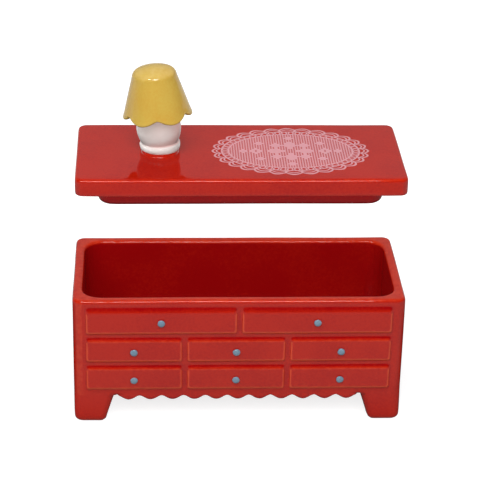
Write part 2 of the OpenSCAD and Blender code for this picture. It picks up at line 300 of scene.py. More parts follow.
def glazeGroup():
    # colour that thins over edges and pools in hollows, with painted light, painted shade and painted shadow
    # where the tones call for them, slow waves and a fine orange peel
    tree = bpy.data.node_groups.new("glazeFlow", "ShaderNodeTree")
    for name in ("Body", "ThinAndLit", "PooledAndShade"):
        tree.interface.new_socket(name, in_out="INPUT", socket_type="NodeSocketColor")
    for name in ("Tone", "Grain"):
        tree.interface.new_socket(name, in_out="INPUT", socket_type="NodeSocketFloat")
    tree.interface.new_socket("Colour", in_out="OUTPUT", socket_type="NodeSocketColor")
    for name in ("Roughness", "Height"):
        tree.interface.new_socket(name, in_out="OUTPUT", socket_type="NodeSocketFloat")
    given = tree.nodes.new("NodeGroupInput")
    result = tree.nodes.new("NodeGroupOutput")
    tone = given.outputs["Tone"]
    place = tree.nodes.new("ShaderNodeTexCoord").outputs["Object"]
    slow = speckle(tree, place, glaze["slow"])
    fine = speckle(tree, place, glaze["fine"])
    peel = speckle(tree, place, glaze["peel"], 0)
    grain = speckle(tree, place, glaze["grain"], 1.0)
    # where the glaze is thin, and where light is painted, broken up a little by the noise
    centred = calc(tree, "SUBTRACT", tone, glaze["ragged"] / 2)
    thinAndLitShare = ramp(tree, calc(tree, "MULTIPLY_ADD", fine, glaze["ragged"], centred), *glaze["thinAndLitTones"])
    depth = calc(tree, "MULTIPLY", tone, -1.0)
    poolAndShadeShare = calc(tree, "MULTIPLY", ramp(tree, depth, *glaze["poolAndShadeDepths"]), glaze["poolAndShadeAmount"])
    mottled = calc(tree, "MULTIPLY_ADD", ramp(tree, slow, *glaze["clouds"]), glaze["clouded"], poolAndShadeShare)
    mottled = calc(tree, "MULTIPLY_ADD", calc(tree, "SUBTRACT", grain, 0.5), given.outputs["Grain"], mottled)
    colour = blendColour(tree, mottled, given.outputs["Body"], given.outputs["PooledAndShade"])
    colour = blendColour(tree, thinAndLitShare, colour, given.outputs["ThinAndLit"])
    # painted shadow, where the tone is under -1
    paintedShadow = calc(tree, "MULTIPLY", ramp(tree, depth, *glaze["paintedShadowDepths"]), glaze["paintedShadow"])
    tree.links.new(blendColour(tree, paintedShadow, colour, (0.0, 0.0, 0.0, 1)), result.inputs["Colour"])
    leastRough, fineRough = glaze["rough"]
    dull = calc(tree, "MULTIPLY_ADD", ramp(tree, depth, *glaze["dulls"]), glaze["dull"], leastRough)
    tree.links.new(calc(tree, "MULTIPLY_ADD", fine, fineRough, dull), result.inputs["Roughness"])
    fineWave, peelWave = glaze["waves"]
    waves = calc(tree, "MULTIPLY_ADD", peel, peelWave, calc(tree, "MULTIPLY_ADD", fine, fineWave, slow))
    tree.links.new(waves, result.inputs["Height"])
    return tree


glazeFlow = glazeGroup()


def glazed(name, look):
    material, tree, shader = newMaterial(name)
    shader.inputs["IOR"].default_value = glaze["ior"]
    flow = tree.nodes.new("ShaderNodeGroup")
    flow.node_tree = glazeFlow
    for socket in ("Body", "ThinAndLit", "PooledAndShade"):
        flow.inputs[socket].default_value = (*look[socket], 1)
    flow.inputs["Grain"].default_value = look["grain"]
    tree.links.new(attribute(tree, "tone"), flow.inputs["Tone"])
    shine = calc(tree, "MULTIPLY", calc(tree, "SUBTRACT", 1.0, attribute(tree, "matt")), look["gloss"])
    tree.links.new(shine, shader.inputs["Specular IOR Level"])
    # painted shade: in its mirror image on the lid a piece is painted dark, standing in for its unlit
    # underside
    glossy = tree.nodes.new("ShaderNodeLightPath").outputs["Is Glossy Ray"]
    mirrored = calc(tree, "MULTIPLY", glossy, look["mirrorShade"])
    colour = blendColour(tree, mirrored, flow.outputs["Colour"], (*glaze["mirrorShadeColour"], 1))
    if "under" in look:  # what shows where the paint doesn't reach, dark red as painted shade round the knob's foot
        colour = blendColour(tree, attribute(tree, "bareShadeRing"), colour, (*look["under"], 1))
    tree.links.new(colour, shader.inputs["Base Color"])
    tree.links.new(flow.outputs["Roughness"], shader.inputs["Roughness"])
    bump = tree.nodes.new("ShaderNodeBump")
    bump.inputs["Strength"].default_value = look["wave"]
    bump.inputs["Distance"].default_value = glaze["bump"]
    tree.links.new(flow.outputs["Height"], bump.inputs["Height"])
    tree.links.new(bump.outputs["Normal"], shader.inputs["Normal"])
    return material


redGlaze, yellowGlaze, whiteGlaze, bluePaint = [glazed(name, look) for name, look in looks.items()]
print("glazes ready")


# Chest: a lofted block with its well, then drawer fronts, feet and apron worked out of its faces

chest = dict(
    underside=14.7,
    endWall=4.4,
    longWall=4.8,
    floor=5.0,
    corner=4.0,
    wellCorner=8.5,
    wellFloor=4.0,          # radius round the well's floor
    # the well takes the pooled colour all over: glaze pooled on its floor, and painted shade inside the box
    wellPoolAndShadeTone=-1,
    rim=1.5,                # radius of the rim's edges
    edgeTone=0.4,
    rimTone=0.42,           # over the flat of the rim, and down its edges this far
    rimFlat=0.2,
    dryEdge=0.5,            # how far the rim's edges lose their shine
    underTone=0.2,
    posts=(0.4, 0.15),      # tone of the plain strips left and right of the drawers
    postsReach=(0.3, 1.2),  # they begin this far out from the drawers and go this far round the corner
    cell=5.0,               # widest cell of the mesh
    unevenness=0.2,
    period=34.0,            # length of the waves in the casting
)
drawers = dict(
    counts=(2, 3, 3),
    heights=(13.8, 12.75, 12.75),
    # (height, tones from the top down) of each row's upper slopes; the dark tones are glaze pooled under the
    # top edge and painted shade down the slope
    crowns=(
        (2.8, (-0.9, -0.8, -0.45, 0.1)),
        (1.8, (-0.9, -0.9, 0.3, 0.5)),
        (1.8, (-0.9, -0.9, 0.3, 0.5)),
    ),
    sideMargin=5.8,
    topMargin=3.2,
    gap=2.0,
    lowerShift=-1.2,        # of the gaps in the rows of three
    rowGap=1.6,
    footTones=(0.0, -0.5),  # on the face of the chest, along the lower edges and round the rest
    # (run, rise, tone) over the rounded sides, from the face of the chest inwards
    edge=((0.2, 0.4, 0.3), (0.3, 0.33, 1.0), (0.4, 0.2, 0.5), (0.75, 0.07, 0.0)),
    # (share of the height, share of the relief) of the same rings down the upper slope
    slope=((0.08, 0.07), (0.4, 0.42), (0.65, 0.7), (1.0, 1.0)),
    # (height, tone) of the same rings along the lower edge, which is less steep, and paler as painted light
    # on an edge that faces down
    lip=((0.45, 0.8), (0.85, 1.2), (1.2, 1.0), (1.65, 0.3)),
    support=0.6,            # from the rounded edges in to the next cut
)
feet = dict(width=18.6, depth=16.0, fillet=1.5, taper=3.3, toe=3.3, toeTone=0.3)
apron = dict(
    scallops=11,
    drop=3.0,
    least=0.05,             # drop between two scallops
    thickness=5.0,
    fullness=0.65,
    steps=10,
    courses=((0.65, 0, 0.1), (1, 0.8, 0.4)),  # (share of the drop, set in, tone) on the way down
)
chestLo, chestHi = boxOf("chest_body")
knobBack = boxOf("knob_top_left")[1].y  # the knobs stand on the drawers' faces
drawerRun = sum(step[0] for step in drawers["edge"])
drawerRelief = sum(step[1] for step in drawers["edge"])
drawerRise = knobBack - chestLo.y + drawerRelief
chestW = chestHi.x - chestLo.x
chestD = chestHi.y - chestLo.y - drawerRise
chestMiddle = Vector((0, chestHi.y - chestD / 2, 0))
chestHalf = (chestW / 2, chestD / 2)
chestFront = chestMiddle.y - chestHalf[1]
footX = chestHalf[0] - feet["width"] - feet["fillet"]
footY = chestHalf[1] - feet["depth"] - feet["fillet"]


def drawerPlaces(top):
    # (left, right, bottom, top, crown) of every drawer front
    places = []
    wide = chestW - 2 * drawers["sideMargin"] + drawers["gap"]
    z = top - drawers["topMargin"]
    for count, height, crown in zip(drawers["counts"], drawers["heights"], drawers["crowns"]):
        shift = drawers["lowerShift"] if count > 2 else 0
        gaps = [wide * (i / count - 0.5) + (shift if 0 < i < count else 0) for i in range(count + 1)]
        for a, b in zip(gaps, gaps[1:]):
            places.append((a + drawers["gap"] / 2, b - drawers["gap"] / 2, z - height, z, crown))
        z -= height + drawers["rowGap"]
    return places


def drawerMarks(places):
    # cuts along the drawers' outlines and just inside their rounded edges
    inner = drawerRun + drawers["support"]
    xMarks, zMarks = set(), set()
    for left, right, low, high, crown in places:
        xMarks |= {left, left + inner, right - inner, right}
        zMarks |= {low, low + inner, high - crown[0] - drawers["support"], high}
    return [sorted({round(m, 3) for m in marks}) for marks in (xMarks, zMarks)]


def rimTone(down, value):
    return chest["rimTone"] if down < chest["rimFlat"] else chest["edgeTone"] * value


def blockRings(bm, tone, top):
    outer = (chestW, chestD)
    well = (chestW - 2 * chest["endWall"], chestD - 2 * chest["longWall"])
    rings, ring = ringStack(bm, tone, chestMiddle)
    ring(outer, chest["corner"], 0, chest["underside"], chest["underTone"])
    for inset, down, value in quarter(chest["rim"], 4):
        ring(outer, chest["corner"], inset, top - down, rimTone(down, value), chest["dryEdge"] * value)
    for inset, down, value in quarter(chest["rim"], 4, rising=False):
        inside = rimTone(down, value) if inset > 0 else chest["wellPoolAndShadeTone"]
        ring(well, chest["wellCorner"], -inset, top - level - down, inside, chest["dryEdge"] * value)
    floorZ = chest["underside"] + chest["floor"]
    for inset, up, _ in quarter(chest["wellFloor"], 4):
        ring(well, chest["wellCorner"], inset, floorZ + up, chest["wellPoolAndShadeTone"])
    return rings


def tonePosts(bm, tone):
    # the plain strips beside the drawers are a little paler
    clear, deep = chest["postsReach"]
    for v in bm.verts:
        if v.co.y < chestFront + deep and abs(v.co.x) > chestHalf[0] - drawers["sideMargin"] + clear:
            v[tone] = max(v[tone], chest["posts"][v.co.x > 0])


def raiseDrawer(bm, tone, place):
    left, right, low, high, (height, tones) = place
    touch = 0.01

    def within(spot, front):
        return left < spot.x < right and spot.y < front and low < spot.z < high

    panel = facesLooking(bm, Vector((0, -1, 0)), lambda centre: within(centre, chestFront + 0.5))
    lowerTone, roundTone = drawers["footTones"]
    for v in rimOf(panel):
        v[tone] = lowerTone if v.co.z < low + touch else roundTone
    depths = []
    for run, rise, value in drawers["edge"]:
        bmesh.ops.inset_region(bm, faces=panel, thickness=run, depth=rise, use_even_offset=True,
                               use_boundary=True)
        depths.append(run + (depths[-1] if depths else 0))
        for v in rimOf(panel):
            v[tone] = value
    # the rings along the top are laid out again as a long slope, and those along the bottom as a lip, with
    # their tones of painted shade and painted light
    for v in [v for v in bm.verts if within(v.co, chestFront - touch)]:
        fromEnd = min(high - v.co.z, v.co.z - low)
        if fromEnd > depths[-1] + touch:
            continue
        ring = min(range(len(depths)), key=lambda i: abs(fromEnd - depths[i]))
        if v.co.z > (low + high) / 2:
            down, out = drawers["slope"][ring]
            v.co.z = high - height * down
            v.co.y = chestFront - drawerRelief * out
            v[tone] = tones[ring]
        else:
            up, v[tone] = drawers["lip"][ring]
            v.co.z = low + up


def underFaces(bm, test):
    # faces of the chest's flat underside
    z = chest["underside"]
    return facesLooking(bm, Vector((0, 0, -1)), lambda centre: abs(centre.z - z) < 0.01 and test(centre))


def dropFeet(bm, tone):
    # (height, set in from outside, width over the inner fillet or taper), from the underside to the table
    z = chest["underside"]
    toe, fillet, taper = feet["toe"], feet["fillet"], feet["taper"]
    bend = 1 - math.sqrt(0.5)
    levels = [(z, 0, fillet), (z - fillet * bend, 0, fillet * bend), (z - fillet, 0, 0),
              ((z - fillet + toe) / 2, 0, -taper / 2)]
    levels += [(up, inset, -taper - inset) for inset, up, _ in quarter(toe, 4)]
    faces = underFaces(bm, lambda centre: abs(centre.x) > footX and abs(centre.y - chestMiddle.y) > footY)
    for (_, wasIn, wasOut), (nextZ, setIn, out) in zip(levels, levels[1:]):
        faces, corners = pull(bm, faces)
        for v in corners:
            place = [v.co.x, v.co.y - chestMiddle.y]
            for i, width in enumerate((feet["width"], feet["depth"])):
                share = (chestHalf[i] - abs(place[i]) - wasIn) / (width + wasOut - wasIn)
                place[i] = math.copysign(chestHalf[i] - setIn - share * (width + out - setIn), place[i])
            v.co = (place[0], place[1] + chestMiddle.y, nextZ)
            v[tone] = feet["toeTone"] if nextZ < toe else 0.0


def cutApron(bm, tone):
    # strip under the front wall, cut finely, drawn down in scallops and rounded underneath
    back = chestFront + apron["thickness"]

    def strip():
        return underFaces(bm, lambda centre: abs(centre.x) < footX and centre.y < back)

    cut(bm, "y", [back], lambda: underFaces(bm, lambda centre: True))
    count = apron["scallops"] * apron["steps"]
    cut(bm, "x", [footX * (2 * i / count - 1) for i in range(1, count)], strip)
    faces = strip()
    for share, setIn, value in apron["courses"]:
        faces, corners = pull(bm, faces)
        for v in corners:
            swell = (1 - math.cos(math.pi * apron["scallops"] * (v.co.x / footX + 1))) / 2
            drop = apron["least"] + (apron["drop"] - apron["least"]) * swell ** apron["fullness"]
            v.co.z = chest["underside"] - drop * share
            v.co.y += setIn if v.co.y < (chestFront + back) / 2 else -setIn
            v[tone] = value


def buildChest():
    bm, tone = newBody()
    loft(bm, blockRings(bm, tone, chestHi.z))
    places = drawerPlaces(chestHi.z)
    reachY = chestHalf[1] - chest["longWall"] - chest["wellCorner"]
    xMarks, zMarks = drawerMarks(places)
    xMarks = sorted(xMarks + [-footX, footX])
    yMarks = [chestMiddle.y + y for y in (-reachY, -footY, footY, reachY)]
    for axis, marks in (("x", xMarks), ("y", yMarks), ("z", zMarks)):
        cut(bm, axis, spread(marks, chest["cell"]))
    tonePosts(bm, tone)
    for place in places:
        raiseDrawer(bm, tone, place)
    dropFeet(bm, tone)
    cutApron(bm, tone)
    handMade(bm, chestLo, chestHi, chest)
    finishPiece("chestBody", bm, redGlaze, "chest", ["chest_body"], 1)


buildChest()


# Knobs: low domes dabbed with grey-blue paint

knobs = dict(
    # (share of the radius, share of the height, tone) from the middle of the dome out
    profile=((0.0, 1.0, 0.3), (0.45, 0.97, 0.3), (0.78, 0.78, 0.4), (0.95, 0.45, 0.2), (1.0, 0.0, -0.4)),
    steps=24,
    dab=0.09,       # how far the painted outline strays from a circle
    dabScale=0.9,
    painted=0.3,    # the share of the height down to which the paint reaches
)


def buildKnob(node):
    lo, hi = boxOf(node)
    bm, tone = newBody()
    # the unpainted ring round the knob's foot, which takes the dark colour as painted shade
    bareShadeRing = bm.verts.layers.float.new("bareShadeRing")
    radius, height = (hi.x - lo.x) / 2, hi.y - lo.y
    middle = Vector(((lo.x + hi.x) / 2, hi.y, (lo.z + hi.z) / 2))
    chain = []
    for r, h, value in knobs["profile"]:
        v = bm.verts.new((middle.x + r * radius, middle.y - h * height, middle.z))
        v[tone] = value
        v[bareShadeRing] = h < knobs["painted"]
        chain.append(v)
    spinRound(bm, chain, middle, (0, 1, 0), knobs["steps"])
    bmesh.ops.holes_fill(bm, edges=[e for e in bm.edges if e.is_boundary])
    scale = knobs["dabScale"]
    for v in bm.verts:
        away = v.co - middle
        stray = noise.noise((v.co.x * scale, v.co.z * scale, middle.x)) - 1
        v.co.x += away.x * knobs["dab"] * stray
        v.co.z += away.z * knobs["dab"] * stray
    finishPiece(node.replace("_", "-"), bm, bluePaint, "chest", [node], 1)


for knob in sorted(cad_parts):
    if knob.startswith("knob"):
        buildKnob(knob)


# Lid: slab, locating flange and the hollow under it, lofted as one casting

lid = dict(
    corner=4.0,
    edge=1.5,
    lowerEdge=0.8,
    edgeTone=0.4,
    dryEdge=0.6,                # how far the upper edge loses its shine
    topRing=1.6,                # from the upper edge in to the first ring on the flat
    sideCut=3.2,                # height over the slab's underside of a cut round its sides
    flangeInset=(9.7, 7.4),     # from the slab's ends and sides
    flangeDepth=7.8,
    flangeCorner=7.0,
    flangeEdge=2.6,
    flangeWall=4.5,
    # the flange's tone is painted shadow under the slab's overhang
    flangeShadowTone=-1.5,
    dryFlange=0.5,
    hollow=2.0,                 # how far it goes up into the slab
    # (in from the flange, up from the slab's underside, tone) where the flange leaves the slab; tones under
    # -1 are painted shadow under the slab's overhang
    root=((-0.9, level, -1), (-0.2, -0.3, -1.5), (0, -1.2, -1.5)),
    # (in from the flange's wall, up from its foot, tone), and the same up from the hollow's ceiling
    mouth=((-0.5, level, 0.4), (0, 0.5, 0.4)),
    ceiling=((0, -1.2, -0.3), (1.2, 0, -0.5)),
    cell=6.0,
    unevenness=0.18,
    period=34.0,
)
lidLo, lidHi = boxOf("lid")
lidMiddle = (lidLo + lidHi) / 2
lidUnder = lidLo.z + lid["flangeDepth"]


def lidRings(bm, tone):
    slab = (lidHi.x - lidLo.x, lidHi.y - lidLo.y)
    flange = (slab[0] - 2 * lid["flangeInset"][0], slab[1] - 2 * lid["flangeInset"][1])
    corner, wall = lid["flangeCorner"], lid["flangeWall"]
    rings, ring = ringStack(bm, tone, lidMiddle)
    ring(slab, lid["corner"], lid["edge"] + lid["topRing"], lidHi.z + level, 0)
    for inset, down, value in quarter(lid["edge"], 4, rising=False):
        ring(slab, lid["corner"], inset, lidHi.z - down, lid["edgeTone"] * value, lid["dryEdge"] * value)
    for inset, up, value in quarter(lid["lowerEdge"], 2):
        ring(slab, lid["corner"], inset, lidUnder + up, lid["edgeTone"] * value)
    for inset, up, value in lid["root"]:
        ring(flange, corner, inset, lidUnder + up, value, lid["dryFlange"])
    for inset, up, _ in quarter(lid["flangeEdge"], 4):
        ring(flange, corner, inset, lidLo.z + up, lid["flangeShadowTone"], lid["dryFlange"])
    for inset, up, value in lid["mouth"]:
        ring(flange, corner, wall + inset, lidLo.z + up, value)
    for inset, up, value in lid["ceiling"]:
        ring(flange, corner, wall + inset, lidUnder + lid["hollow"] + up, value)
    return rings


def buildLid():
    bm, tone = newBody()
    loft(bm, lidRings(bm, tone))
    reachX = lidHi.x - lid["flangeInset"][0] - lid["flangeCorner"]
    reachY = lidHi.y - lidMiddle.y - lid["flangeInset"][1] - lid["flangeCorner"]
    cut(bm, "x", spread([-reachX, reachX], lid["cell"]))
    cut(bm, "y", [lidMiddle.y + y for y in spread([-reachY, reachY], lid["cell"])])
    cut(bm, "z", [lidUnder + lid["sideCut"]])
    handMade(bm, lidLo, lidHi, lid)
    return finishPiece("lidSlab", bm, redGlaze, "cover", ["lid"], 1)


lidSlab = buildLid()
lidSlab.visible_shadow = False  # the chest is lit as if it stood open by itself
lidSlab.visible_glossy = False
lidSlab.visible_diffuse = False


# Lamp: a turned white body on a foot ring, under a fluted yellow shade

lamp = dict(
    endGap=37.5,            # from the lid's left end to the lamp's axis
    back=2.0,               # and from the lid's middle line
    lean=4.5,               # degrees to the left
    pivot=4.0,
    bend=(0.3, 4.8),        # the lean begins at this height, and is full this much higher
)
lampBase = dict(
    # (radius, height, tone) up from the lid; tones under 0 at the foot and waist are glaze pooled there, and
    # those low on the body are painted pink reflection of the red lid
    profile=((0, 0, 0), (7.9, 0, -0.6), (8.5, 0.3, -0.3), (8.95, 1.1, 0.1), (9.2, 2.2, 0.3), (9.2, 3.1, 0.5),
             (8.95, 3.7, 0.3), (8.55, 4.0, -0.5), (8.4, 4.35, -0.9), (8.65, 4.95, -0.8), (9.2, 6.1, -0.55),
             (9.75, 7.9, -0.2), (10.05, 9.8, 0), (10.08, 11.4, 0), (9.85, 13.3, 0), (9.4, 15.2, 0),
             (8.6, 17.2, 0), (7.6, 18.6, 0), (6.0, 19.7, 0), (5.2, 20, 0), (0, 20, 0)),
    steps=48,
    widest=10.1,
    sides=(0.9, -1.0),      # painted light added at the left, where the light falls, and painted pink reflection of the red lid at the right
    unevenness=0.14,
    period=14.0,
)
shade = dict(
    up=16.0,                # the hem's height over the lid
    height=22.6,
    hem=15.85,
    topRadius=10.1,
    topEdge=3.4,
    # painted light on the top, which faces up
    topLightTone=0.45,
    topFade=1.6,            # how soon that tone is full over the top edge
    topSteps=4,
    dome=1.5,
    domeRings=(0, 0.3, 0.6, 0.85),
    # (in, up, tone) round the outside of the hem, and (share of its thickness, up, tone) round the inside
    hemOutside=((0.08, 1.0, 0.2), (0.25, 0.5, 0.4), (0.65, 0.14, 0.6)),
    hemInside=((0.45, 0, 0.2), (0.85, 0.2, -0.4), (1, 0.7, -0.6)),
    hemThick=2.8,
    hollow=4.0,
    ceiling=9.5,
    insideTone=-0.8,
    lobes=7,
    stepsInLobe=10,
    frontLobe=60,           # degrees that each of the two front lobes takes up
    flute=1.3,
    fluteTone=0.5,
    hemRise=2.7,            # of the hem between two lobes
    fade=1.5,
    wallRings=9,
    unevenness=0.16,
    period=16.0,
)
glazePool = dict(
    # (radius, height, tone) round the red glaze that gathers at the lamp's foot
    profile=((7.6, -0.6, 0), (10.2, -0.6, -0.2), (10.4, -0.25, -0.2), (10.32, 0.1, 0), (10.0, 0.45, 0),
             (9.5, 0.7, 0), (8.9, 0.8, 0), (7.6, 0.8, 0), (7.6, -0.6, 0)),
    steps=48,
    root=8.0,               # it draws in to this radius beside and behind the foot
    least=0.05,
)
lampFoot = Vector((lidLo.x + lamp["endGap"], lidMiddle.y + lamp["back"], lidHi.z))


def leanOver(bm):
    # leans the lamp to the left, less and less towards the foot's flat underside
    pivot = lampFoot + Vector((0, 0, lamp["pivot"]))
    start, run = lamp["bend"]
    for v in bm.verts:
        share = min(1.0, max(0.0, (v.co.z - lampFoot.z - start) / run))
        v.co = pivot + Matrix.Rotation(math.radians(-lamp["lean"] * share), 3, "Y") @ (v.co - pivot)


def castLamp(bm, low, high, radius, cast):
    reach = Vector((radius, radius, 0))
    handMade(bm, lampFoot - reach + Vector((0, 0, low)), lampFoot + reach + Vector((0, 0, high)), cast)
    leanOver(bm)


def buildLampBase():
    bm, tone = newBody()
    turn(bm, tone, lampBase["profile"], lampFoot, lampBase["steps"])
    for v in bm.verts:
        side = (v.co.x - lampFoot.x) / lampBase["widest"]
        v[tone] += lampBase["sides"][side > 0] * side ** 2
    castLamp(bm, 0, lampBase["profile"][-1][1], lampBase["widest"], lampBase)
    finishPiece("lampBody", bm, whiteGlaze, "cover", ["lamp_base"], 1)


def shadeProfile():
    # down from the middle of the domed top, round the hem and up inside to the ceiling
    hem, top, edge, topLight = shade["hem"], shade["topRadius"], shade["topEdge"], shade["topLightTone"]
    high = shade["height"]
    peak = high + shade["dome"]
    turnEnd = math.pi / 2 - math.atan2(2 * shade["dome"], top - edge)
    rim = top - edge * (1 - math.cos(turnEnd))
    fall = peak - high + edge * (1 - math.sin(turnEnd))
    profile = [(rim * share, peak - fall * share ** 2, topLight) for share in shade["domeRings"]]
    for i in range(shade["topSteps"] + 1):
        t = turnEnd * (1 - i / shade["topSteps"])
        value = topLight * min(1, shade["topFade"] * math.sin(t))
        profile.append((top - edge * (1 - math.cos(t)), high - edge * (1 - math.sin(t)), value))
    wall = high - edge
    for i in range(1, shade["wallRings"]):
        share = i / shade["wallRings"]
        profile.append((top + (hem - top) * share, wall * (1 - share), 0))
    profile += [(hem - setIn, up, value) for setIn, up, value in shade["hemOutside"]]
    profile += [(hem - share * shade["hemThick"], up, value) for share, up, value in shade["hemInside"]]
    profile += [(r, shade["hollow"], shade["insideTone"]) for r in (shade["ceiling"], 0)]
    return profile, wall


def lobeTurn(angle):
    # even lobes, with the two at the front spread to their own width
    even = math.tau / shade["lobes"]
    front = math.radians(shade["frontLobe"])
    if abs(angle) < even:
        return angle * front / even
    return math.copysign(front + (abs(angle) - even) * (math.pi - front) / (math.pi - even), angle)


def buildShade():
    bm, tone = newBody()
    profile, wall = shadeProfile()
    axis = Vector((lampFoot.x, lampFoot.y, 0))
    turn(bm, tone, profile, axis, shade["lobes"] * shade["stepsInLobe"])
    for v in bm.verts:
        out = Vector((v.co.x - axis.x, v.co.y - axis.y))
        angle = math.atan2(out.x, -out.y)  # from the front
        dip = 1 - abs(math.sin(shade["lobes"] * angle / 2))
        left = max(0.0, 1 - v.co.z / wall)
        if out.length > shade["topRadius"] / 2:  # the middle of the top and of the ceiling stay round
            reach = out.length - shade["flute"] * dip * left ** shade["fade"]
            angle = lobeTurn(angle)
            v.co.x, v.co.y = axis.x + reach * math.sin(angle), axis.y - reach * math.cos(angle)
            v.co.z += shade["hemRise"] * dip * left
            v[tone] -= shade["fluteTone"] * dip * left
        v.co.z += lampFoot.z + shade["up"]
    peak = shade["up"] + shade["height"] + shade["dome"]
    castLamp(bm, shade["up"], peak, shade["hem"], shade)
    return finishPiece("lampShade", bm, yellowGlaze, "cover", ["lamp_shade"], 1)


def buildGlazePool():
    bm, tone = newBody()
    turn(bm, tone, glazePool["profile"], lampFoot, glazePool["steps"])
    root = glazePool["root"]
    for v in bm.verts:
        out = Vector((v.co.x - lampFoot.x, v.co.y - lampFoot.y))
        share = max(glazePool["least"], -out.y / out.length)
        if out.length > root:
            out *= (root + (out.length - root) * share) / out.length
            v.co.x, v.co.y = lampFoot.x + out.x, lampFoot.y + out.y
    finishPiece("glazePool", bm, redGlaze, "cover", [], 1)


buildLampBase()
lampShade = buildShade()
lampShade.visible_shadow = False
buildGlazePool()


# Lace mat: a thin printed film on the lid

lace = dict(
    scallops=28,
    notch=1.8,
    steps=8,
    film=0.08,
    inset=(1.0, 1.6),
    colour=(0.78, 0.42, 0.46),
    wornColour=(0.68, 0.31, 0.35),
    cover=(0.65, 0.3),      # least cover of the print, and what the noise adds to it
    rough=(0.12, 0.12),
    wornScale=900,
    net=1.15,               # spacing of the net's threads
    threads=(0.46, 0.36),   # width of the upright and the level threads, as a share of that
    pitch=7.3,              # of the scallops, along the edge
    cords=((0.55, 1.0), (2.3, 0.7)),  # (in from the scalloped edge, width)
    beads=(3.1, 0.5, 0.9),  # in from the oval, and the radii between which a bead fades
    loops=6.1,              # from the oval in to the row of rings
    loopRing=(1.35, 0.8),   # radius and width of a ring
    chains=((4.6, 0.7), (7.7, 0.8)),  # (in from the oval, width)
    border=8.0,             # width of the lace border
    # (across, up, half width, half height)
    diamonds=((0, 6.6, 3.1, 5.0), (6.6, 0, 5.0, 3.1), (6.4, 6.4, 2.9, 2.9), (15.6, 0, 3.4, 3.4),
              (21.6, 0, 2.4, 2.4), (13.6, 8.6, 2.4, 2.4), (0, 14.2, 2.4, 2.4)),
    openings=((0, 0, 2.4, 2.4), (15.6, 0, 1.3, 1.3)),
    margin=3.0,             # from the edge in to the first cut of the film's mesh
)
laceLo, laceHi = boxOf("lace_doily")
laceMiddle = (laceLo + laceHi) / 2
laceHalf = ((laceHi.x - laceLo.x) / 2 - lace["inset"][0], (laceHi.y - laceLo.y) / 2 - lace["inset"][1])


